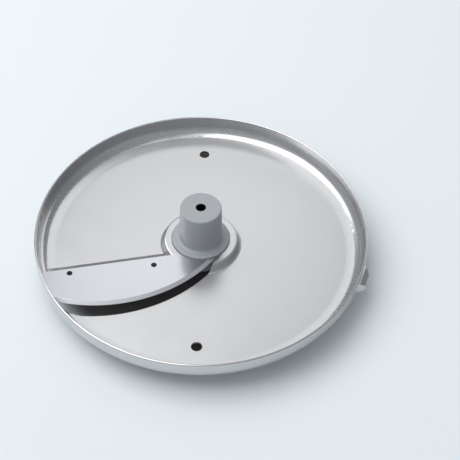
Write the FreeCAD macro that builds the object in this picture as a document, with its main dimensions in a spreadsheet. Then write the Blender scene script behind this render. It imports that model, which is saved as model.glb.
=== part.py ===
import FreeCAD, Part
import os
import re
import Sketcher
from math import atan2, cos, hypot, radians, sin, sqrt

# A food processor slicing disc: a pressed stainless dish with an upturned rim, a sickle
# blade screwed on a raised bed above the throat, and a moulded hub clamped by a ring nut.
# Lengths are in millimetres. The origin is the mouth of the drive bore on the hub's bottom
# face, +Z runs up through the hub and the two plate holes lie on the Y axis.

SIZES = [
    # sheet and rim
    ("sheet_t", "1.2", "thickness of the pressed sheet"),
    ("rim_r", "87", "outer radius of the rim"),
    ("rim_rise", "11.4", "top of the rim above the plate"),
    ("corner_r", "5.5", "inner radius of the rim's corner"),
    ("margin_r", "25", "radius of the gentle margin before the corner"),
    ("margin_slope", "10", "slope in degrees where margin and corner meet"),
    ("plate_z", "10", "height of the plate's upper face"),
    # seat for the hub flange, and the ring boss round it
    ("seat_r", "15.6", "radius of the seat sunk for the hub flange"),
    ("lap_w", "1.6", "width of the seat sheet under the ring boss and under the bed"),
    ("boss_w", "3.7", "width of the ring boss at its top"),
    ("boss_run", "1.6", "run of the ring boss's sloping wall"),
    ("boss_rise", "4.5", "top of the ring boss above the plate"),
    ("boss_bend", "1", "bend radius at the top and foot of the ring boss"),
    # blade bed and throat, in a frame whose first axis follows the blade's back edge
    ("blade_turn", "191.93", "direction in degrees of the blade's back edge"),
    ("bed_v", "8.2", "top of the sloping step behind the bed"),
    ("step_run", "4.7", "run of the sloping step"),
    ("step_in", "1.8", "inner end of the step inside the ring boss's top edge"),
    ("notch_in", "10", "inner end of the relief notch from the rim"),
    ("notch_out", "5.8", "outer end of the relief notch from the rim"),
    ("window_in", "2.5", "window's outer arc from the rim"),
    ("throat_dip", "0.61", "how far the throat curve dips into the flange seat"),
    ("overhang", "4.5", "blade ahead of the bed"),
    # blade
    ("blade_t", "1.2", "thickness of the blade"),
    ("blade_set", "0.8", "blade's back edge ahead of the step's top"),
    ("blade_gap", "0.15", "clearance at the blade's inner and outer ends"),
    ("edge_dip", "2.08", "how far the cutting curve dips into the flange seat"),
    ("bevel_w", "2", "width of the ground bevel"),
    ("bevel_h", "0.9", "depth of the ground bevel"),
    # blade screws
    ("screw_outer_in", "16.3", "outer blade screw from the rim"),
    ("screw_outer_v", "12", "outer blade screw, second coordinate"),
    ("screw_inner_out", "11.6", "inner blade screw from the flange seat"),
    ("screw_inner_v", "14.1", "inner blade screw, second coordinate"),
    ("screw_d", "3", "thread diameter of a blade screw"),
    ("screw_play", "0.4", "clearance of a blade screw in the bed, on diameter"),
    ("screw_head_w", "2.6", "head of a blade screw wider than its thread"),
    ("screw_head_h", "1.7", "height of a blade screw's head"),
    ("screw_sunk", "0.4", "screw tip below the blade's upper face"),
    ("screw_tip", "0.3", "chamfer of a screw's tip"),
    ("screw_hex", "2", "hexagon recess across flats"),
    ("screw_hex_deep", "1", "depth of the hexagon recess"),
    # plate holes
    ("plate_hole_d", "5.6", "diameter of a plate hole"),
    ("plate_hole_in", "19.6", "plate holes from the rim"),
    # rim lug
    ("lug_turn", "-18", "direction in degrees of the lug on the rim"),
    ("lug_out", "3", "lug proud of the rim"),
    ("lug_root", "15", "length of the lug at the rim"),
    ("lug_crest", "8", "length of the lug at its outer face"),
    ("lug_low", "3", "bottom of the lug above the plate"),
    ("lug_high", "9", "top of the lug above the plate"),
    ("lug_fall", "2.6", "slope from the lug's top to its outer face"),
    # hub
    ("hub_rise", "28", "top of the hub above the plate"),
    ("hub_top_r", "10.75", "radius of the hub at its top"),
    ("hub_foot_r", "11.2", "radius of the hub above the flange"),
    ("hub_edge", "0.8", "rounding of the hub's top edge"),
    ("flange_gap", "0.3", "clearance of the hub flange in its seat"),
    ("flange_rise", "6", "top of the hub flange above the plate"),
    ("flange_edge", "0.9", "rounding of the flange's upper edge"),
    ("flange_root", "1.2", "rounding between flange and hub"),
    ("barrel_r", "11.4", "radius of the threaded barrel under the flange"),
    ("barrel_gap", "0.1", "clearance of the barrel in the plate"),
    ("barrel_edge", "0.6", "chamfer of the barrel's bottom edge"),
    ("bore_r", "7", "radius of the drive bore"),
    ("bore_deep", "30", "depth of the drive bore"),
    ("vent_r", "2.5", "radius of the vent in the hub's top"),
    ("slot_w", "5", "width of the slot for the drive pin"),
    ("slot_h", "6", "height of the slot for the drive pin"),
    # ring nut
    ("nut_out", "1", "ring nut beyond the flange seat"),
    ("nut_drop", "4", "bottom of the ring nut below the plate's upper face"),
    ("nut_edge", "0.6", "chamfer of the ring nut"),
    ("nut_slots", "6", "number of spanner slots"),
    ("nut_slot_w", "4", "width of a spanner slot"),
    ("nut_slot_deep", "2", "depth of a spanner slot"),
    ("nut_slot_h", "3", "height of a spanner slot"),
]

CORNER_LIFT = "(margin_r - (margin_r - corner_r) * cos(margin_slope * 1deg))"
MID_SHEET = "(corner_r + sheet_t / 2)"

DERIVED = [
    ("bed_rise", "boss_rise - blade_t", "top of the bed above the plate"),
    ("corner_x", "rim_r - sheet_t - corner_r", "the corner's centre from the hub axis"),
    ("corner_z", "plate_z + " + CORNER_LIFT, "height of the corner's centre"),
    ("flat_r", "corner_x - (margin_r - corner_r) * sin(margin_slope * 1deg)", "edge of the flat"),
    ("centre_r", "barrel_r + barrel_gap", "radius of the hole for the hub barrel"),
    ("lap_r", "seat_r + lap_w", "radius of the seat sheet under the ring boss"),
    ("boss_top_r", "seat_r + boss_w", "radius of the ring boss at its top"),
    ("boss_foot_r", "boss_top_r + boss_run", "radius of the ring boss at its foot"),
    ("wall_angle", "atan(boss_rise / boss_run) / 1deg", "slope of the boss wall in degrees"),
    ("wall_shift", "sheet_t * tan(wall_angle * 0.5deg)", "shift of the boss wall's underside"),
    ("foot_v", "bed_v - step_run", "foot of the sloping step"),
    ("blade_v", "bed_v + blade_set", "back edge of the blade"),
    ("step_angle", "atan(bed_rise / step_run) / 1deg", "slope of the step in degrees"),
    ("step_shift", "sheet_t * tan(step_angle * 0.5deg)", "shift of the step's underside"),
    ("step_start", "boss_top_r - step_in", "inner end of the step"),
    ("step_end", "rim_r - notch_in", "outer end of the step, at the relief notch"),
    ("notch_end", "rim_r - notch_out", "outer end of the relief notch"),
    ("window_r", "rim_r - window_in", "radius of the window's outer arc"),
    ("throat_u", "rim_r * 0.5707", "first coordinate of the throat curve's centre"),
    ("throat_v", "rim_r * -0.4423", "second coordinate of the throat curve's centre"),
    ("throat_r", "sqrt(throat_u ^ 2 + throat_v ^ 2) + seat_r - throat_dip", "throat curve"),
    ("throat_end_u", "rim_r * 0.7782", "where the throat curve turns to the rim"),
    ("throat_end_v", "rim_r * 0.3126", "where that turn meets the window's outer arc"),
    ("throat_turn_r", "rim_r * 0.2874", "radius of the throat's turn"),
    ("edge_u", "rim_r * 0.5464", "first coordinate of the cutting curve's centre"),
    ("edge_v", "rim_r * -0.4683", "second coordinate of the cutting curve's centre"),
    ("edge_r", "sqrt(edge_u ^ 2 + edge_v ^ 2) + seat_r - edge_dip", "cutting curve"),
    ("bed_drop", "corner_z - plate_z - bed_rise", "bed's top below the corner's centre"),
    ("bed_outer_r", "corner_x + sqrt(" + MID_SHEET + " ^ 2 - (bed_drop + sheet_t / 2) ^ 2)",
     "radius where the bed ends inside the rim's sheet"),
    ("blade_outer_r", "corner_x + sqrt(corner_r ^ 2 - bed_drop ^ 2) - blade_gap",
     "radius of the blade's outer end"),
    ("bed_inner_r", "seat_r - lap_w", "radius where the bed runs into the flange seat"),
    ("screw_outer_u", "rim_r - screw_outer_in", "outer blade screw, first coordinate"),
    ("screw_inner_u", "seat_r + screw_inner_out", "inner blade screw, first coordinate"),
    ("screw_way_d", "screw_d + screw_play", "clearance hole in the bed"),
    ("screw_head_d", "screw_d + screw_head_w", "diameter of a blade screw's head"),
    ("plate_hole_y", "rim_r - plate_hole_in", "plate holes from the axis"),
    ("lug_r", "rim_r + lug_out", "radius of the lug's outer face"),
    ("lug_root_r", "rim_r - sheet_t * 0.9", "where the lug starts inside the rim's sheet"),
    ("flange_r", "seat_r - flange_gap", "radius of the hub flange"),
    ("nut_r", "seat_r + nut_out", "radius of the ring nut"),
    ("nut_slot_r", "nut_r - nut_slot_deep", "radius at the floor of a spanner slot"),
]

# lengths closer than this are the same
TOUCH = 1e-4

doc = FreeCAD.newDocument("slicing_disc")
sheet = doc.addObject("Spreadsheet::Sheet", "sizes")
names = []
for row, (name, text, note) in enumerate(SIZES + DERIVED, start=1):
    cell = f"B{row}"
    sheet.set(f"A{row}", name)
    sheet.set(cell, text if row <= len(SIZES) else "=" + text)
    sheet.set(f"C{row}", note)
    sheet.setAlias(cell, name)
    names.append(name)
doc.recompute()
WORDS = re.compile(r"\b(" + "|".join(names) + r")\b")


def bound(text):
    """An expression on sheet names, as another object refers to it."""
    return WORDS.sub(r"sizes.\1", text)


def value(text):
    """The number an expression on sheet names gives now."""
    return float(FreeCAD.Units.Quantity(sheet.evalExpression(text)).Value)


def origin_plane(body, role):
    """One of the body's own origin planes."""
    return next(f for f in body.Origin.OriginFeatures if f.Role == role)


def new_body(label):
    body = doc.addObject("PartDesign::Body", label)
    body.Label = label
    return body


def flat_sketch(body, label, height="0", turn="0"):
    """A sketch on a level plane at a height, turned about the hub axis."""
    sketch = body.newObject("Sketcher::SketchObject", label)
    sketch.AttachmentSupport = [(origin_plane(body, "XY_Plane"), "")]
    sketch.MapMode = "FlatFace"
    spin = FreeCAD.Rotation(FreeCAD.Vector(0, 0, 1), value(turn))
    sketch.AttachmentOffset = FreeCAD.Placement(FreeCAD.Vector(0, 0, value(height)), spin)
    sketch.setExpression("AttachmentOffset.Base.z", bound(height))
    sketch.setExpression("AttachmentOffset.Rotation.Angle", bound(f"({turn}) * 1deg"))
    return sketch


def upright_sketch(body, label, turn="0", ahead="0"):
    """A sketch on an upright plane, turned about the hub axis and moved along its normal."""
    sketch = body.newObject("Sketcher::SketchObject", label)
    sketch.AttachmentSupport = [(origin_plane(body, "XZ_Plane"), "")]
    sketch.MapMode = "FlatFace"
    spin = FreeCAD.Rotation(FreeCAD.Vector(0, 1, 0), value(turn))
    sketch.AttachmentOffset = FreeCAD.Placement(FreeCAD.Vector(0, 0, 0), spin)
    sketch.setExpression("AttachmentOffset.Rotation.Angle", bound(f"({turn}) * 1deg"))
    sketch.setExpression("AttachmentOffset.Base.x", bound(f"({ahead}) * sin(({turn}) * 1deg)"))
    sketch.setExpression("AttachmentOffset.Base.z", bound(f"({ahead}) * cos(({turn}) * 1deg)"))
    return sketch


def hold(sketch, kind, geometry, end, text):
    """A dimension of one point or one arc, driven by the sheet."""
    if end:
        index = sketch.addConstraint(Sketcher.Constraint(kind, geometry, end, value(text)))
    else:
        index = sketch.addConstraint(Sketcher.Constraint(kind, geometry, value(text)))
    sketch.setExpression(f"Constraints[{index}]", bound(text))


def settle(x, y, circles):
    """Where two circles meet, from a first guess near that point."""
    for turn in range(60):
        cx, cy, radius = circles[turn % 2]
        reach = hypot(x - cx, y - cy)
        x = cx + (x - cx) * radius / reach
        y = cy + (y - cy) * radius / reach
    return x, y


def outline(sketch, points, arcs=None):
    """A closed outline through points given as pairs of expressions.

    A coordinate that starts with ~ isn't a dimension: the arcs that meet there place it.
    arcs maps an edge's number to (radius, side) or (radius, side, centre x, centre y), where
    side is 1 for an arc that turns left and -1 for one that turns right.
    """
    arcs = arcs or {}
    spots = [tuple(value(c.lstrip("~")) for c in point) for point in points]
    count = len(spots)
    known = {i: (value(a[2]), value(a[3]), value(a[0])) for i, a in arcs.items() if len(a) > 2}
    for i, point in enumerate(points):
        if all(c.startswith("~") for c in point):
            spots[i] = settle(*spots[i], (known[(i - 1) % count], known[i]))
    starts = []
    ends = []
    for i, (x0, y0) in enumerate(spots):
        x1, y1 = spots[(i + 1) % count]
        if i not in arcs:
            line = Part.LineSegment(FreeCAD.Vector(x0, y0, 0), FreeCAD.Vector(x1, y1, 0))
            number = sketch.addGeometry(line)
            starts.append((number, 1))
            ends.append((number, 2))
            continue
        radius, side = value(arcs[i][0]), arcs[i][1]
        chord = hypot(x1 - x0, y1 - y0)
        lift = side * sqrt(max(radius ** 2 - chord ** 2 / 4, 0)) / chord
        cx, cy, _ = known.get(i, (
            (x0 + x1) / 2 - lift * (y1 - y0),
            (y0 + y1) / 2 + lift * (x1 - x0),
            radius,
        ))
        a0 = atan2(y0 - cy, x0 - cx)
        a1 = atan2(y1 - cy, x1 - cx)
        circle = Part.Circle(FreeCAD.Vector(cx, cy, 0), FreeCAD.Vector(0, 0, 1), radius)
        span = (a0, a1) if side > 0 else (a1, a0)
        number = sketch.addGeometry(Part.ArcOfCircle(circle, *span))
        starts.append((number, 1 if side > 0 else 2))
        ends.append((number, 2 if side > 0 else 1))
    for i in range(count):
        after = starts[(i + 1) % count]
        sketch.addConstraint(Sketcher.Constraint("Coincident", *ends[i], *after))
    for i, (x, y) in enumerate(points):
        if not x.startswith("~"):
            hold(sketch, "DistanceX", *starts[i], x)
        if not y.startswith("~"):
            hold(sketch, "DistanceY", *starts[i], y)
    for i, arc in arcs.items():
        hold(sketch, "Radius", starts[i][0], 0, arc[0])
        if i in known:
            hold(sketch, "DistanceX", starts[i][0], 3, arc[2])
            hold(sketch, "DistanceY", starts[i][0], 3, arc[3])


def rings(sketch, spots):
    """Circles at (x, y) with a diameter, all expressions."""
    for x, y, diameter in spots:
        centre = FreeCAD.Vector(value(x), value(y), 0)
        circle = Part.Circle(centre, FreeCAD.Vector(0, 0, 1), value(diameter) / 2)
        number = sketch.addGeometry(circle)
        hold(sketch, "DistanceX", number, 3, x)
        hold(sketch, "DistanceY", number, 3, y)
        hold(sketch, "Diameter", number, 0, diameter)


def revolve(body, label, sketch):
    feature = body.newObject("PartDesign::Revolution", label)
    feature.Profile = sketch
    feature.ReferenceAxis = (sketch, ["V_Axis"])
    feature.Angle = 360
    sketch.Visibility = False
    doc.recompute()
    return feature


def raised(body, label, sketch, length):
    """A pad along the sketch's normal."""
    feature = body.newObject("PartDesign::Pad", label)
    feature.Profile = sketch
    feature.Length = value(length)
    feature.setExpression("Length", bound(length))
    sketch.Visibility = False
    doc.recompute()
    return feature


def cut_through(body, label, sketch):
    """A pocket through everything above and below the sketch."""
    feature = body.newObject("PartDesign::Pocket", label)
    feature.Profile = sketch
    feature.Type = "ThroughAll"
    feature.Midplane = True
    sketch.Visibility = False
    doc.recompute()
    return feature


def cut_up(body, label, sketch, length):
    """A pocket along the sketch's normal."""
    before = body.Shape.Volume
    feature = body.newObject("PartDesign::Pocket", label)
    feature.Profile = sketch
    feature.Length = value(length)
    feature.setExpression("Length", bound(length))
    feature.Reversed = True
    sketch.Visibility = False
    doc.recompute()
    if feature.Shape.Volume >= before:
        raise RuntimeError(label + " removes nothing")
    return feature


def edges_where(shape, test):
    """Names of the edges that pass a test."""
    return [f"Edge{i}" for i, edge in enumerate(shape.Edges, start=1) if test(edge)]


def ring_edges(shape, radius, height):
    """Names of the full circles about the hub axis with a radius and a height."""
    def test(edge):
        curve = edge.Curve
        if not isinstance(curve, Part.Circle):
            return False
        near = abs(curve.Radius - value(radius)) < TOUCH
        level = abs(curve.Center.z - value(height)) < TOUCH
        return near and level and hypot(curve.Center.x, curve.Center.y) < TOUCH
    return edges_where(shape, test)


def dress(body, kind, label, base, edges, size, amount):
    """A fillet or chamfer on named edges."""
    feature = body.newObject("PartDesign::" + kind, label)
    feature.Base = (base, edges)
    setattr(feature, size, value(amount))
    feature.setExpression(size, bound(amount))
    base.Visibility = False
    doc.recompute()
    return feature


def is_lug_crest(edge):
    """Whether an edge is the upper one of the lug's outer face."""
    turn = radians(value("lug_turn"))
    middle = edge.CenterOfMass
    reach = hypot(middle.x - value("lug_r") * cos(turn), middle.y - value("lug_r") * sin(turn))
    return reach < TOUCH and abs(middle.z - value("plate_z + lug_high")) < TOUCH


def make_disc_plate():
    body = new_body("disc_plate")
    # section of the sheet from the hub's hole to the rim, underside first
    section = upright_sketch(body, "dish_section")
    slope = "margin_slope * 1deg"
    under = "(margin_r + sheet_t)"
    outline(section, [
        ("centre_r", "plate_z + bed_rise - sheet_t"),
        ("lap_r", "plate_z + bed_rise - sheet_t"),
        ("lap_r", "plate_z + boss_rise - sheet_t"),
        ("boss_top_r - wall_shift", "plate_z + boss_rise - sheet_t"),
        ("boss_foot_r - wall_shift", "plate_z - sheet_t"),
        ("flat_r", "plate_z - sheet_t"),
        (f"flat_r + {under} * sin({slope})", f"plate_z + margin_r - {under} * cos({slope})"),
        ("rim_r", "corner_z"),
        ("rim_r", "plate_z + rim_rise - sheet_t / 2"),
        ("rim_r - sheet_t / 2", "plate_z + rim_rise"),
        ("rim_r - sheet_t", "plate_z + rim_rise - sheet_t / 2"),
        ("rim_r - sheet_t", "corner_z"),
        (f"flat_r + margin_r * sin({slope})", f"plate_z + margin_r * (1 - cos({slope}))"),
        ("flat_r", "plate_z"),
        ("boss_foot_r", "plate_z"),
        ("boss_top_r", "plate_z + boss_rise"),
        ("seat_r", "plate_z + boss_rise"),
        ("seat_r", "plate_z + bed_rise"),
        ("centre_r", "plate_z + bed_rise"),
    ], {
        5: (under, 1),
        6: ("corner_r + sheet_t", 1),
        8: ("sheet_t / 2", 1),
        9: ("sheet_t / 2", 1),
        11: ("corner_r", -1),
        12: ("margin_r", -1),
    })
    dish = revolve(body, "dish", section)
    bends = ring_edges(dish.Shape, "boss_top_r", "plate_z + boss_rise")
    bends += ring_edges(dish.Shape, "boss_foot_r", "plate_z")
    dress(body, "Fillet", "boss_bends", dish, bends, "Radius", "boss_bend")

    # window under the blade and ahead of it; its front side is the throat's lip
    window = flat_sketch(body, "window_outline", "plate_z", "blade_turn")
    outline(window, [
        ("~sqrt(seat_r ^ 2 - blade_v ^ 2)", "blade_v"),
        ("boss_top_r", "blade_v"),
        ("boss_top_r", "foot_v"),
        ("notch_end", "foot_v"),
        ("notch_end", "bed_v"),
        ("sqrt(window_r ^ 2 - bed_v ^ 2)", "bed_v"),
        ("sqrt(window_r ^ 2 - throat_end_v ^ 2)", "throat_end_v"),
        ("throat_end_u", "~throat_v + sqrt(throat_r ^ 2 - (throat_end_u - throat_u) ^ 2)"),
        ("~-seat_r * 0.56", "~seat_r * 0.83"),
    ], {
        5: ("window_r", 1),
        6: ("throat_turn_r", 1),
        7: ("throat_r", 1, "throat_u", "throat_v"),
        8: ("seat_r", -1, "0", "0"),
    })
    cut_through(body, "window", window)

    # bed that carries the blade
    bed = flat_sketch(body, "bed_outline", "plate_z + bed_rise - sheet_t", "blade_turn")
    outline(bed, [
        ("~sqrt(bed_inner_r ^ 2 - bed_v ^ 2)", "bed_v"),
        ("~sqrt(bed_outer_r ^ 2 - bed_v ^ 2)", "bed_v"),
        ("~bed_outer_r * 0.967", "~bed_outer_r * 0.253"),
        ("~bed_inner_r * 0.114", "~bed_inner_r * 0.993"),
    ], {
        1: ("bed_outer_r", 1, "0", "0"),
        2: ("edge_r - overhang", 1, "edge_u", "edge_v"),
        3: ("bed_inner_r", -1, "0", "0"),
    })
    raised(body, "bed", bed, "sheet_t")

    # sloping step from the plate up to the bed
    step = upright_sketch(body, "step_section", "blade_turn + 90", "step_start")
    outline(step, [
        ("foot_v - sheet_t", "plate_z - sheet_t"),
        ("foot_v + step_shift", "plate_z - sheet_t"),
        ("bed_v + step_shift", "plate_z + bed_rise - sheet_t"),
        ("bed_v + sheet_t", "plate_z + bed_rise - sheet_t"),
        ("bed_v + sheet_t", "plate_z + bed_rise"),
        ("bed_v", "plate_z + bed_rise"),
        ("foot_v", "plate_z"),
        ("foot_v - sheet_t", "plate_z"),
    ])
    raised(body, "step", step, "step_end - step_start")

    # clearance holes for the blade screws
    ways = flat_sketch(body, "screw_way_centres", "plate_z", "blade_turn")
    rings(ways, [
        ("screw_outer_u", "screw_outer_v", "screw_way_d"),
        ("screw_inner_u", "screw_inner_v", "screw_way_d"),
    ])
    cut_through(body, "screw_ways", ways)

    # the two plate holes
    holes = flat_sketch(body, "plate_hole_centres", "plate_z")
    rings(holes, [
        ("0", "plate_hole_y", "plate_hole_d"),
        ("0", "-plate_hole_y", "plate_hole_d"),
    ])
    cut_through(body, "plate_holes", holes)

    # lug pressed out of the rim
    lug = flat_sketch(body, "lug_outline", "plate_z + lug_low", "lug_turn")
    outline(lug, [
        ("lug_root_r", "-lug_root / 2"),
        ("lug_r", "-lug_crest / 2"),
        ("lug_r", "lug_crest / 2"),
        ("lug_root_r", "lug_root / 2"),
    ])
    block = raised(body, "lug", lug, "lug_high - lug_low")
    crest = edges_where(block.Shape, is_lug_crest)
    dress(body, "Chamfer", "lug_top", block, crest, "Size", "lug_fall")
    return body


def make_slicing_blade():
    body = new_body("slicing_blade")
    plan = flat_sketch(body, "blade_outline", "plate_z + bed_rise", "blade_turn")
    outline(plan, [
        ("~sqrt((seat_r - blade_gap) ^ 2 - blade_v ^ 2)", "blade_v"),
        ("~sqrt(blade_outer_r ^ 2 - blade_v ^ 2)", "blade_v"),
        ("~blade_outer_r * 0.9435", "~blade_outer_r * 0.3294"),
        ("~-seat_r * 0.266", "~seat_r * 0.96"),
    ], {
        1: ("blade_outer_r", 1, "0", "0"),
        2: ("edge_r", 1, "edge_u", "edge_v"),
        3: ("seat_r - blade_gap", -1, "0", "0"),
    })
    slab = raised(body, "blade_slab", plan, "blade_t")

    # bevel ground on the upper side of the cutting edge
    def on_edge(edge):
        curve = edge.Curve
        if not isinstance(curve, Part.Circle):
            return False
        level = abs(curve.Center.z - value("plate_z + boss_rise")) < TOUCH
        return level and abs(curve.Radius - value("edge_r")) < TOUCH
    bevel = dress(body, "Chamfer", "bevel", slab, edges_where(slab.Shape, on_edge), "Size", "bevel_h")
    bevel.ChamferType = "Two distances"
    bevel.setExpression("Size2", bound("bevel_w"))
    doc.recompute()

    threads = flat_sketch(body, "thread_centres", "plate_z", "blade_turn")
    rings(threads, [
        ("screw_outer_u", "screw_outer_v", "screw_d"),
        ("screw_inner_u", "screw_inner_v", "screw_d"),
    ])
    cut_through(body, "threads", threads)
    return body


def make_blade_screw(label, u, v):
    """A screw that comes up through the bed into the blade."""
    body = new_body(label)
    seat = "plate_z + bed_rise - sheet_t"
    head = flat_sketch(body, label + "_head_plan", f"{seat} - screw_head_h", "blade_turn")
    rings(head, [(u, v, "screw_head_d")])
    raised(body, label + "_head", head, "screw_head_h")
    shank = flat_sketch(body, label + "_shank_plan", seat, "blade_turn")
    rings(shank, [(u, v, "screw_d")])
    rod = raised(body, label + "_shank", shank, "sheet_t + blade_t - screw_sunk")
    tip = value(f"{seat} + sheet_t + blade_t - screw_sunk")
    low = value(f"{seat} - screw_head_h")
    rims = edges_where(rod.Shape, lambda e: abs(e.CenterOfMass.z - tip) < TOUCH)
    rims += edges_where(rod.Shape, lambda e: abs(e.CenterOfMass.z - low) < TOUCH)
    dress(body, "Chamfer", label + "_edges", rod, rims, "Size", "screw_tip")

    # hexagon recess in the head's underside
    key = flat_sketch(body, label + "_key_plan", f"{seat} - screw_head_h", "blade_turn")
    wide = "screw_hex / 2"
    far = "screw_hex / sqrt(3)"
    outline(key, [
        (f"{u} + {far}", v),
        (f"{u} + {far} / 2", f"{v} + {wide}"),
        (f"{u} - {far} / 2", f"{v} + {wide}"),
        (f"{u} - {far}", v),
        (f"{u} - {far} / 2", f"{v} - {wide}"),
        (f"{u} + {far} / 2", f"{v} - {wide}"),
    ])
    cut_up(body, label + "_key", key, "screw_hex_deep")
    return body


def make_hub():
    body = new_body("hub")
    section = upright_sketch(body, "hub_section")
    outline(section, [
        ("bore_r", "0"),
        ("barrel_r - barrel_edge", "0"),
        ("barrel_r", "barrel_edge"),
        ("barrel_r", "plate_z + bed_rise"),
        ("flange_r", "plate_z + bed_rise"),
        ("flange_r", "plate_z + flange_rise - flange_edge"),
        ("flange_r - flange_edge", "plate_z + flange_rise"),
        ("hub_foot_r + flange_root", "plate_z + flange_rise"),
        ("hub_foot_r", "plate_z + flange_rise + flange_root"),
        ("hub_top_r", "plate_z + hub_rise - hub_edge"),
        ("hub_top_r - hub_edge", "plate_z + hub_rise"),
        ("vent_r", "plate_z + hub_rise"),
        ("vent_r", "bore_deep"),
        ("bore_r", "bore_deep"),
    ], {
        5: ("flange_edge", 1),
        7: ("flange_root", -1),
        9: ("hub_edge", 1),
    })
    revolve(body, "hub_turning", section)
    slot = flat_sketch(body, "pin_slot_plan")
    reach = "barrel_r + slot_w"
    outline(slot, [
        (f"-({reach})", "-slot_w / 2"),
        (reach, "-slot_w / 2"),
        (reach, "slot_w / 2"),
        (f"-({reach})", "slot_w / 2"),
    ])
    cut_up(body, "pin_slot", slot, "slot_h")
    return body


def make_hub_nut():
    body = new_body("hub_nut")
    section = upright_sketch(body, "nut_section")
    low = "plate_z - nut_drop"
    high = "plate_z + bed_rise - sheet_t"
    outline(section, [
        ("barrel_r", low),
        ("nut_r - nut_edge", low),
        ("nut_r", f"{low} + nut_edge"),
        ("nut_r", high),
        ("barrel_r", high),
    ])
    revolve(body, "nut_ring", section)
    plan = flat_sketch(body, "spanner_slot_plan", low)
    outline(plan, [
        ("nut_slot_r", "-nut_slot_w / 2"),
        ("nut_r + nut_slot_w", "-nut_slot_w / 2"),
        ("nut_r + nut_slot_w", "nut_slot_w / 2"),
        ("nut_slot_r", "nut_slot_w / 2"),
    ])
    slot = cut_up(body, "spanner_slot", plan, "nut_slot_h")
    ring = body.newObject("PartDesign::PolarPattern", "spanner_slots")
    ring.Originals = [slot]
    ring.Axis = (plan, ["N_Axis"])
    ring.Angle = 360
    ring.Occurrences = int(value("nut_slots"))
    ring.setExpression("Occurrences", bound("nut_slots"))
    body.Tip = ring
    doc.recompute()
    return body


bodies = [
    make_disc_plate(),
    make_slicing_blade(),
    make_blade_screw("blade_screw_outer", "screw_outer_u", "screw_outer_v"),
    make_blade_screw("blade_screw_inner", "screw_inner_u", "screw_inner_v"),
    make_hub(),
    make_hub_nut(),
]
doc.recompute()

faults = []
for thing in doc.Objects:
    if "Invalid" in thing.State or "Error" in thing.State:
        faults.append(f"{thing.Label}: {thing.State}")
for body in bodies:
    if body.Shape.isNull() or not body.Shape.isValid() or len(body.Shape.Solids) != 1:
        faults.append(f"{body.Label}: not one valid solid")
if faults:
    raise RuntimeError("; ".join(faults))

os.makedirs("parts", exist_ok=True)
for body in bodies:
    body.Shape.exportStep(f"parts/{body.Label}.step")
    box = body.Shape.BoundBox
    spans = " ".join(f"{v:.2f}" for v in (box.XMin, box.XMax, box.YMin, box.YMax, box.ZMin, box.ZMax))
    print(body.Label, f"volume {body.Shape.Volume:.1f}", "box", spans)
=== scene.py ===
# %% [markdown]
# # A food processor slicing disc
#
# The disc is a shallow dish pressed from stainless sheet. A curved blade is screwed to a raised bed in
# it, a grey plastic hub stands in its middle, and a ring nut holds the hub from below. The solids come
# from a CAD program at their real size. Blender gives each one its finish, adds the fine thread that
# the solids leave out, and then lights and photographs the whole.

from math import cos, pi, radians, sin

import bmesh
import bpy
from mathutils import Matrix, Vector


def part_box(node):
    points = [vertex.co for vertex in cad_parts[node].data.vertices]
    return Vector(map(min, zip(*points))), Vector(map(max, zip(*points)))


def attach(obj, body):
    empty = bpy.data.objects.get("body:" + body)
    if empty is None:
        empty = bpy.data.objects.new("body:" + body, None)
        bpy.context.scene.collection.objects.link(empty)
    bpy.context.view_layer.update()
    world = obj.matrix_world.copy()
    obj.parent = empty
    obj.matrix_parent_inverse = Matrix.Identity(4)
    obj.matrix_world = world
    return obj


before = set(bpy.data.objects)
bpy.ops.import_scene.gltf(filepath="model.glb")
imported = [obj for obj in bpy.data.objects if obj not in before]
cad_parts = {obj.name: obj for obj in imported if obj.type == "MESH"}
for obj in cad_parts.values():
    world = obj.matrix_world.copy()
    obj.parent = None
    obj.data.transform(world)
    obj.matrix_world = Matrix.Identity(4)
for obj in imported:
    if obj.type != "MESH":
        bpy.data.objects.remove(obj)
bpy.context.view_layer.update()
print("pieces:", sorted(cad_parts))

# %% [markdown]
# ## Millimetres
#
# Blender works in metres and a maker thinks in millimetres. A size could be typed in metres each time,
# but it is easier to read as the number that a ruler shows, so one short name turns one into the other.
# The radius of the rim is measured on the solids, and what belongs to the rim is placed from it.

# %% Millimetres
MM = 0.001
RIM_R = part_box("disc_plate")[1][0]
print("the rim is", round(2 * RIM_R / MM, 1), "mm across")

# %% [markdown]
# ## Colours and nodes
#
# A colour picked from a swatch is an sRGB value, but a shader mixes light, which is linear. One
# function makes the change, so that every colour below is written as the hex value a designer would
# name. A second function adds a shader node with its settings and links, which keeps each material
# short. A third measures how far a point is from an upright line. Turned and pressed things are round,
# so that one distance tells a hole from its surroundings and a rim from a flat. A noise runs from 0 to
# 1 but seldom leaves the stretch from 0.3 to 0.7, so a material spreads only that stretch over its own
# range. The scale of a texture is one divided by the size of its features.

# %% Colour and node helpers
NOISE_LOW = 0.3
NOISE_HIGH = 0.7


def colour(hex_value):
    """An sRGB hex value as the linear colour that a shader expects."""
    parts = [int(hex_value[i:i + 2], 16) / 255 for i in (1, 3, 5)]
    linear = [c / 12.92 if c <= 0.04045 else ((c + 0.055) / 1.055) ** 2.4 for c in parts]
    return (*linear, 1)


def node(tree, kind, sockets=None, **settings):
    """Add a node. sockets maps an input to a value, or to another node's output."""
    made = tree.nodes.new(kind)
    for name, setting in settings.items():
        setattr(made, name, setting)
    for name, source in (sockets or {}).items():
        if isinstance(source, bpy.types.NodeSocket):
            tree.links.new(source, made.inputs[name])
        else:
            made.inputs[name].default_value = source
    return made


def material(name):
    """A new material with its shader, its tree and the object's own coordinates."""
    made = bpy.data.materials.new(name)
    made.use_nodes = True
    tree = made.node_tree
    place = node(tree, "ShaderNodeTexCoord").outputs["Object"]
    return made, tree, tree.nodes["Principled BSDF"], place


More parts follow.
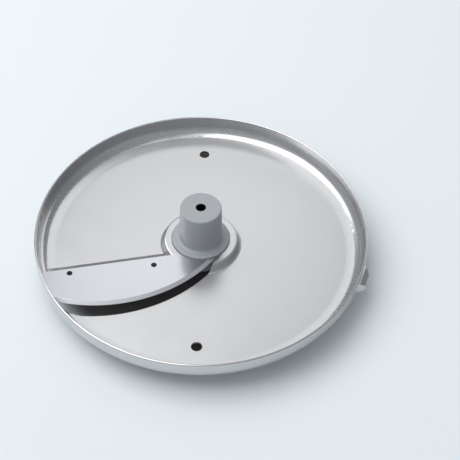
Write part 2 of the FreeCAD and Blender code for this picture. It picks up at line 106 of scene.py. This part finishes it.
def reach_from(tree, place, centre=(0, 0)):
    """The distance in plan from an upright line, as a node's output."""
    split = node(tree, "ShaderNodeSeparateXYZ", {"Vector": place})
    flat = node(tree, "ShaderNodeCombineXYZ", {"X": split.outputs["X"], "Y": split.outputs["Y"]})
    return node(tree, "ShaderNodeVectorMath", {
        0: flat.outputs["Vector"], 1: (*centre, 0),
    }, operation="DISTANCE").outputs["Value"]


print("mid grey in linear light is", round(colour("#808080")[0], 3))

# %% [markdown]
# ## Pressed stainless sheet
#
# The dish is cold rolled stainless steel with a satin finish. Such a sheet is a mirror that fine grain
# has made milky: it shows light and dark as soft clouds and no sharp picture. A metal has no colour
# under its surface, so the base colour is the tint of its reflection. A fine noise is the grain and a
# broad one the unevenness that polishing leaves. The wall of the dish was drawn through a die, which
# rubbed its inside a little smoother than the flat and its outside almost bright, so the roughness
# drops in two steps. An image of scratches could do the same, but noise in millimetres is right at any
# size and needs no file. The real grain is about a tenth of a millimetre wide, too fine for a picture,
# so it is drawn at 0.7 mm.

# %% Satin sheet material
SHEET_GRAIN = 0.7 * MM
SHEET_CLOUD = 16 * MM
FLAT_R = RIM_R - 6.7 * MM
DRAWN_R = RIM_R - 5 * MM
OUTSIDE_R = RIM_R - 0.6 * MM
SATIN_ROUGHNESS = (0.28, 0.34)
RUBBED_ROUGHNESS = (0.24, 0.29)
DIE_ROUGHNESS = 0.14


def satin_stainless_sheet():
    made, tree, shader, place = material("satin stainless sheet, cold rolled and pressed")
    grain = node(tree, "ShaderNodeTexNoise", {"Vector": place, "Scale": 1 / SHEET_GRAIN, "Detail": 3})
    cloud = node(tree, "ShaderNodeTexNoise", {"Vector": place, "Scale": 1 / SHEET_CLOUD, "Detail": 2})
    both = node(tree, "ShaderNodeMath", {
        0: grain.outputs["Fac"], 1: cloud.outputs["Fac"],
    }, operation="ADD")
    satin = node(tree, "ShaderNodeMapRange", {
        "Value": both.outputs[0], "From Min": 2 * NOISE_LOW, "From Max": 2 * NOISE_HIGH,
        "To Min": SATIN_ROUGHNESS[0], "To Max": SATIN_ROUGHNESS[1],
    })
    rubbed = node(tree, "ShaderNodeMapRange", {
        "Value": both.outputs[0], "From Min": 2 * NOISE_LOW, "From Max": 2 * NOISE_HIGH,
        "To Min": RUBBED_ROUGHNESS[0], "To Max": RUBBED_ROUGHNESS[1],
    })
    reach = reach_from(tree, place)
    drawn = node(tree, "ShaderNodeMapRange", {"Value": reach, "From Min": FLAT_R, "From Max": DRAWN_R})
    inside = node(tree, "ShaderNodeMix", {
        "Factor": drawn.outputs["Result"], "A": satin.outputs["Result"], "B": rubbed.outputs["Result"],
    })
    outside = node(tree, "ShaderNodeMath", {0: reach, 1: OUTSIDE_R}, operation="GREATER_THAN")
    rough = node(tree, "ShaderNodeMix", {
        "Factor": outside.outputs[0], "A": inside.outputs["Result"], "B": DIE_ROUGHNESS,
    })
    tint = node(tree, "ShaderNodeMix", {
        "Factor": cloud.outputs["Fac"], "A": colour("#CBCBCC"), "B": colour("#D3D3D4"),
    }, data_type="RGBA")
    bump = node(tree, "ShaderNodeBump", {
        "Height": grain.outputs["Fac"], "Strength": 0.15, "Distance": 0.01 * MM,
    })
    tree.links.new(tint.outputs["Result"], shader.inputs["Base Color"])
    tree.links.new(rough.outputs["Result"], shader.inputs["Roughness"])
    tree.links.new(bump.outputs["Normal"], shader.inputs["Normal"])
    shader.inputs["Metallic"].default_value = 1
    return made


def finish_with(finish, *pieces):
    """Give pieces of the CAD model a finish, in every slot that they have."""
    for name in pieces:
        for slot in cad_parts[name].material_slots:
            slot.material = finish
        print(name, "is", finish.name)


finish_with(satin_stainless_sheet(), "disc_plate")

# %% [markdown]
# ## Places along the blade
#
# The blade lies at an angle on the disc. Places on it could be given as x and y of the disc, but they
# are easier to read along its own straight back edge, so a small function turns one into the other.
# The cutting edge is an arc, and its centre is such a place.

# %% Places along the blade
BLADE_TURN = radians(191.93)


def along_blade(u, v):
    """A point given along and ahead of the blade's back edge, in millimetres, as x and y in metres."""
    x = u * cos(BLADE_TURN) - v * sin(BLADE_TURN)
    y = u * sin(BLADE_TURN) + v * cos(BLADE_TURN)
    return x * MM, y * MM


EDGE_CENTRE = along_blade(47.54, -40.74)
print("the cutting edge is centred on", [round(c / MM, 2) for c in EDGE_CENTRE], "mm")

# %% [markdown]
# ## Ground blade steel
#
# The blade is harder steel, ground flat and then ground again along its curved edge. Its flat is nearer
# to a mirror than the sheet, so the hub shows in it. The fine lines that the wheel leaves run along the
# blade, which a noise stretched in that direction gives. The bevel is a strip of even width along an
# arc, so it is found by its distance from the centre of the cutting curve. A coarser wheel cut it, so
# it is rougher than the flat and takes an even, dull light from all round. A second material could give
# that too, but the blade has one slot, and a mix inside one material keeps it. The lines are drawn at
# 0.5 mm, several times coarser than the real ones, because finer ones would not show.

# %% Blade material
EDGE_R = 76.13 * MM
BEVEL_START = EDGE_R - 2.1 * MM
BEVEL_FULL = EDGE_R - 1.9 * MM
LINE_WIDTH = 0.5 * MM
LINE_STRETCH = (0.06, 1, 1)
GROUND_ROUGHNESS = (0.16, 0.22)
BEVEL_ROUGHNESS = 0.6


def ground_blade_steel():
    made, tree, shader, place = material("blade steel, ground flat with a ground bevel")
    bevel = node(tree, "ShaderNodeMapRange", {
        "Value": reach_from(tree, place, EDGE_CENTRE), "From Min": BEVEL_START, "From Max": BEVEL_FULL,
    })
    lie = node(tree, "ShaderNodeMapping", {
        "Vector": place, "Rotation": (0, 0, -BLADE_TURN), "Scale": LINE_STRETCH,
    })
    lines = node(tree, "ShaderNodeTexNoise", {
        "Vector": lie.outputs["Vector"], "Scale": 1 / LINE_WIDTH, "Detail": 3,
    })
    ground = node(tree, "ShaderNodeMapRange", {
        "Value": lines.outputs["Fac"], "From Min": NOISE_LOW, "From Max": NOISE_HIGH,
        "To Min": GROUND_ROUGHNESS[0], "To Max": GROUND_ROUGHNESS[1],
    })
    rough = node(tree, "ShaderNodeMix", {
        "Factor": bevel.outputs["Result"], "A": ground.outputs["Result"], "B": BEVEL_ROUGHNESS,
    })
    tint = node(tree, "ShaderNodeMix", {
        "Factor": lines.outputs["Fac"], "A": colour("#C4C6CA"), "B": colour("#CCCED2"),
    }, data_type="RGBA")
    bump = node(tree, "ShaderNodeBump", {
        "Height": lines.outputs["Fac"], "Strength": 0.1, "Distance": 0.005 * MM,
    })
    tree.links.new(tint.outputs["Result"], shader.inputs["Base Color"])
    tree.links.new(rough.outputs["Result"], shader.inputs["Roughness"])
    tree.links.new(bump.outputs["Normal"], shader.inputs["Normal"])
    shader.inputs["Metallic"].default_value = 1
    return made


finish_with(ground_blade_steel(), "slicing_blade")

# %% [markdown]
# ## Grey moulded plastic
#
# The hub and its nut are moulded in grey acetal, a tough plastic with a slightly waxy sheen. Light goes
# into it and comes back coloured, so most of its look is the base colour. The face of the mould was
# turned on a lathe, and its rings are printed in the top of the hub: a ring wave round the Z axis gives
# them, and a fine noise gives the grain that blurs the reflection. Grooves cut in the mesh would be
# truer, but these are only hundredths of a millimetre deep, which a bump shows as well. Their step of
# 1.4 mm and the grain of 0.5 mm are coarser than the real ones, so that they show. At a scale of 1 the
# ring wave repeats every tenth of pi, so that length is divided by the step. Inside the vent in the top
# the colour is painted dark as the shade in the hole, so it reads as a hole.

# %% Plastic material
VENT_R = 2.6 * MM
VENT_EDGE = 2.8 * MM
PLASTIC_GRAIN = 0.5 * MM
PLASTIC_CLOUD = 6 * MM
RING_STEP = 1.4 * MM
RING_SHARE = 0.8
MOULDED_ROUGHNESS = (0.28, 0.38)


def moulded_grey_acetal():
    made, tree, shader, place = material("grey acetal, injection moulded")
    grain = node(tree, "ShaderNodeTexNoise", {
        "Vector": place, "Scale": 1 / PLASTIC_GRAIN, "Detail": 2,
    })
    cloud = node(tree, "ShaderNodeTexNoise", {
        "Vector": place, "Scale": 1 / PLASTIC_CLOUD, "Detail": 2,
    })
    rings = node(tree, "ShaderNodeTexWave", {
        "Vector": place, "Scale": pi / 10 / RING_STEP, "Distortion": 0.3,
    }, wave_type="RINGS", rings_direction="Z")
    relief = node(tree, "ShaderNodeMath", {
        0: rings.outputs["Fac"], 1: RING_SHARE, 2: grain.outputs["Fac"],
    }, operation="MULTIPLY_ADD")
    tint = node(tree, "ShaderNodeMix", {
        "Factor": cloud.outputs["Fac"], "A": colour("#A8ACB0"), "B": colour("#B0B4B8"),
    }, data_type="RGBA")
    outside = node(tree, "ShaderNodeMapRange", {
        "Value": reach_from(tree, place), "From Min": VENT_R, "From Max": VENT_EDGE,
    })
    # Painted shade: near black inside the vent, where the hole would be in shadow.
    vent_shade_painted = node(tree, "ShaderNodeMix", {
        "Factor": outside.outputs["Result"], "A": colour("#1B1B1C"), "B": tint.outputs["Result"],
    }, data_type="RGBA")
    rough = node(tree, "ShaderNodeMapRange", {
        "Value": grain.outputs["Fac"], "From Min": NOISE_LOW, "From Max": NOISE_HIGH,
        "To Min": MOULDED_ROUGHNESS[0], "To Max": MOULDED_ROUGHNESS[1],
    })
    bump = node(tree, "ShaderNodeBump", {
        "Height": relief.outputs[0], "Strength": 0.3, "Distance": 0.03 * MM,
    })
    tree.links.new(vent_shade_painted.outputs["Result"], shader.inputs["Base Color"])
    tree.links.new(rough.outputs["Result"], shader.inputs["Roughness"])
    tree.links.new(bump.outputs["Normal"], shader.inputs["Normal"])
    return made


acetal = moulded_grey_acetal()
finish_with(acetal, "hub", "hub_nut")

# %% [markdown]
# ## Thread under the ring nut
#
# The ring nut screws up a coarse thread on the barrel of the hub, and a few of its turns show under the
# nut. A thread is one small section carried along a helix. It could be swept along a curve, but the
# Screw modifier is shorter: it turns a section about an axis and lifts it by the pitch at each turn.
# The section is drawn first, as a narrow plane stood upright against the barrel, with its outer edge
# pinched to the crest of the thread.

# %% Section of the thread
BARREL_R = 11.4 * MM
THREAD_LOW = 0.7 * MM
THREAD_PITCH = 1.2 * MM
THREAD_ROOT = 0.95 * MM
THREAD_RISE = 0.45 * MM
THREAD_SUNK = 0.1 * MM
CREST_SHARE = 0.35


def thread_section():
    """A trapezium that stands on the barrel's wall, in the plane of the X and Z axes."""
    depth = THREAD_RISE + THREAD_SUNK
    bpy.ops.object.select_all(action="DESELECT")
    bpy.ops.mesh.primitive_plane_add(
        size=1,
        location=(BARREL_R - THREAD_SUNK + depth / 2, 0, THREAD_LOW + THREAD_ROOT / 2),
        rotation=(pi / 2, 0, 0),
    )
    piece = bpy.context.object
    piece.name = "hub_thread"
    bpy.ops.transform.resize(value=(depth, 1, THREAD_ROOT))
    bpy.ops.object.transform_apply(location=True, rotation=True, scale=True)
    bpy.ops.object.mode_set(mode="EDIT")
    mesh = bmesh.from_edit_mesh(piece.data)
    for corner in mesh.verts:
        corner.select = corner.co.x > BARREL_R
    mesh.select_flush_mode()
    bmesh.update_edit_mesh(piece.data)
    bpy.ops.transform.resize(value=(1, 1, CREST_SHARE))
    bpy.ops.mesh.select_all(action="SELECT")
    bpy.ops.mesh.delete(type="ONLY_FACE")
    bpy.ops.object.mode_set(mode="OBJECT")
    return piece


thread = thread_section()
print("thread section", [tuple(round(c / MM, 2) for c in v.co) for v in thread.data.vertices])

# %% [markdown]
# ## The helix
#
# The modifier leaves both ends of the thread open. They are closed with a face each, and the normals
# are made to point outwards, so that the thread is a closed body like every other piece. Its crest and
# flanks are smooth along the helix and sharp across it, which shading by angle gives.

# %% Turns of the thread
THREAD_TURNS = 3
TURN_STEPS = 64


def run_thread(piece):
    """Carry the section round the hub's axis and close the two ends."""
    bpy.context.view_layer.objects.active = piece
    helix = piece.modifiers.new("helix", "SCREW")
    helix.axis = "Z"
    helix.screw_offset = THREAD_PITCH
    helix.iterations = THREAD_TURNS
    helix.steps = helix.render_steps = TURN_STEPS
    bpy.ops.object.modifier_apply(modifier=helix.name)
    bpy.ops.object.mode_set(mode="EDIT")
    bpy.ops.mesh.select_all(action="SELECT")
    bpy.ops.mesh.remove_doubles(threshold=0.001 * MM)
    bpy.ops.mesh.fill_holes(sides=4)
    bpy.ops.mesh.select_all(action="SELECT")
    bpy.ops.mesh.normals_make_consistent(inside=False)
    bpy.ops.object.mode_set(mode="OBJECT")
    bpy.ops.object.shade_smooth_by_angle(angle=radians(25))
    piece.data.materials.clear()
    piece.data.materials.append(acetal)
    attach(piece, "root")


run_thread(thread)
low = min(v.co.z for v in thread.data.vertices)
high = max(v.co.z for v in thread.data.vertices)
print("thread from", round(low / MM, 2), "to", round(high / MM, 2), "mm")
print("thread faces", len(thread.data.polygons))

# %% [markdown]
# ## Screw steel
#
# Two screws come up through the bed and end just under the top of the blade. They are cold headed from
# stainless wire, with rolled threads. Only their tips show, in the shade of their holes, so their
# colour is painted dark as that shade, and an uneven roughness gives the tips a faint glint. Its
# grain of 0.4 mm is coarser than the real one, so that it shows. A thread could be cut too, but none of
# it would be seen.

# %% Screw material
SCREW_GRAIN = 0.4 * MM
ROLLED_ROUGHNESS = (0.25, 0.4)


def rolled_screw_steel():
    made, tree, shader, place = material("screw steel, cold headed and rolled, painted dark as shade")
    grain = node(tree, "ShaderNodeTexNoise", {"Vector": place, "Scale": 1 / SCREW_GRAIN, "Detail": 2})
    rough = node(tree, "ShaderNodeMapRange", {
        "Value": grain.outputs["Fac"], "From Min": NOISE_LOW, "From Max": NOISE_HIGH,
        "To Min": ROLLED_ROUGHNESS[0], "To Max": ROLLED_ROUGHNESS[1],
    })
    # Painted shade: the tips are coloured dark because they sit in the shade of their holes.
    tint = node(tree, "ShaderNodeMix", {
        "Factor": grain.outputs["Fac"], "A": colour("#2C2C2E"), "B": colour("#38383A"),
    }, data_type="RGBA")
    tree.links.new(tint.outputs["Result"], shader.inputs["Base Color"])
    tree.links.new(rough.outputs["Result"], shader.inputs["Roughness"])
    shader.inputs["Metallic"].default_value = 1
    return made


finish_with(rolled_screw_steel(), "blade_screw_outer", "blade_screw_inner")

# %% [markdown]
# ## Floor
#
# A plain pale floor keeps the eye on the object and catches its shadow. The disc stands on the foot of
# its hub, at the height of the origin. Under the disc a shadow is painted grey into the paper, so that
# the slot in front of the blade and the two holes look as dark as they do in use. A card of its own
# could do that, but its edge would show from behind, and the painted shadow fades out softly under the
# rim.

# %% Floor
SHADOW_CENTRE = (0, 7 * MM, 0)
SHADOW_R = RIM_R - 15 * MM
SHADOW_END = RIM_R - 1 * MM
FLOOR_SIZE = 6


def matte_paper():
    made, tree, shader, place = material("matte paper sweep with a painted shadow")
    reach = node(tree, "ShaderNodeVectorMath", {0: place, 1: SHADOW_CENTRE}, operation="DISTANCE")
    bare = node(tree, "ShaderNodeMapRange", {
        "Value": reach.outputs["Value"], "From Min": SHADOW_R, "From Max": SHADOW_END,
    }, interpolation_type="SMOOTHSTEP")
    # Painted shadow: grey paper under the disc, fading to the pale floor under the rim.
    tint = node(tree, "ShaderNodeMix", {
        "Factor": bare.outputs["Result"], "A": colour("#757272"), "B": colour("#F4FAFD"),
    }, data_type="RGBA")
    tree.links.new(tint.outputs["Result"], shader.inputs["Base Color"])
    shader.inputs["Roughness"].default_value = 0.9
    return made


bpy.ops.object.select_all(action="DESELECT")
bpy.ops.mesh.primitive_plane_add(size=FLOOR_SIZE, location=(0, 0, 0))
floor = bpy.context.object
floor.name = "floor"
floor.data.materials.append(matte_paper())
print("floor", tuple(floor.dimensions))

# %% [markdown]
# ## Lamps
#
# Metal looks like what it reflects, so each lamp is placed by asking where the camera would see it in
# the steel. The overhead lamp hangs behind the disc, where the flat plate mirrors it. It is only a
# little wider than that mirror image, so the corner of the rim looks past it and stays dark. The back
# strip hangs low on the right and draws the light line on the left wall. The left lamp models the hub,
# with its top and left side light and its right side dark, and lights the foot of the far wall. The
# steel reflects the lamps, but the camera doesn't see them. A lamp's watts say little about how bright
# its face looks, so the function takes that brightness and works the watts out from the size.

# %% Lamps
def soft_lamp(name, place, aim, width, depth, shine):
    """A rectangular area lamp turned to a point. shine is how bright its face is, and 1 is white."""
    lamp = bpy.data.lights.new(name, "AREA")
    lamp.shape = "RECTANGLE"
    lamp.size = width
    lamp.size_y = depth
    lamp.energy = shine * pi * width * depth
    made = bpy.data.objects.new(name, lamp)
    made.location = place
    made.rotation_euler = (Vector(aim) - Vector(place)).to_track_quat("-Z", "Y").to_euler()
    made.visible_camera = False
    bpy.context.collection.objects.link(made)
    print(name, "gives", round(lamp.energy, 1), "W")


soft_lamp("overhead lamp", place=(0, 1.2, 1.2), aim=(0, 1.2, 0), width=0.7, depth=0.86, shine=1.02)
soft_lamp("back strip", place=(2, 2, 0.45), aim=(2, 0, 0.45), width=4, depth=0.9, shine=1.3)
soft_lamp("left lamp", place=(-0.64, 0.12, 1.3), aim=(0, 0, 0), width=1.35, depth=1.35, shine=2.55)

# %% [markdown]
# ## Room
#
# What no lamp fills, the steel takes from the room. An even room would make the rim one flat grey, so
# this one is brighter towards the camera and its left than at the back right, as a studio with one
# large window is. The world shader can blend two levels by direction, which is the dot product of the
# view ray with an arrow.

# %% Room
BRIGHT_WAY = (-0.66, -0.75, 0)
DIMMEST = 0.28
BRIGHTEST = 0.6

world = bpy.data.worlds.new("studio")
world.use_nodes = True
bpy.context.scene.world = world
room = world.node_tree
way = node(room, "ShaderNodeTexCoord").outputs["Object"]
side = node(room, "ShaderNodeVectorMath", {0: way, 1: BRIGHT_WAY}, operation="DOT_PRODUCT")
level = node(room, "ShaderNodeMapRange", {
    "Value": side.outputs["Value"],
    "From Min": -1, "From Max": 1, "To Min": DIMMEST, "To Max": BRIGHTEST,
})
walls = room.nodes["Background"]
walls.inputs["Color"].default_value = colour("#E6EAEE")
room.links.new(level.outputs["Result"], walls.inputs["Strength"])
print("room from", DIMMEST, "to", BRIGHTEST)

# %% [markdown]
# ## Camera
#
# The camera looks down on the disc at nearly fifty degrees from about 60 cm, with a long lens, so that
# the rim looks almost as round in front as behind. It aims at the middle of the plate, and the shift
# then slides the picture in its frame. Turning the camera would slide it too, but would also change the
# perspective.

# %% Camera
PLATE_TOP = 10 * MM
ELEVATION = radians(48.86)
SIDE_TURN = radians(1.775)
REACH = 0.595
FOCAL_LENGTH = 87.66
SENSOR = 36
SHIFT = (0.0634, 0.0292)


def place_camera():
    """A camera at the photograph's place, aimed at the middle of the plate."""
    ahead = Vector((0, cos(ELEVATION), -sin(ELEVATION)))
    right = Vector((1, 0, 0))
    up = right.cross(ahead)
    turn = Matrix.Rotation(SIDE_TURN, 3, "Z")
    axes = turn @ Matrix((right, up, -ahead)).transposed()
    spot = turn @ (-REACH * ahead) + Vector((0, 0, PLATE_TOP))
    lens = bpy.data.cameras.new("camera")
    lens.lens = FOCAL_LENGTH
    lens.sensor_width = SENSOR
    lens.shift_x, lens.shift_y = SHIFT
    made = bpy.data.objects.new("camera", lens)
    made.matrix_world = Matrix.Translation(spot) @ axes.to_4x4()
    bpy.context.collection.objects.link(made)
    return made


camera = place_camera()
bpy.context.scene.camera = camera
bpy.context.scene.view_settings.view_transform = "Standard"
print("camera at", tuple(round(c, 4) for c in camera.location))
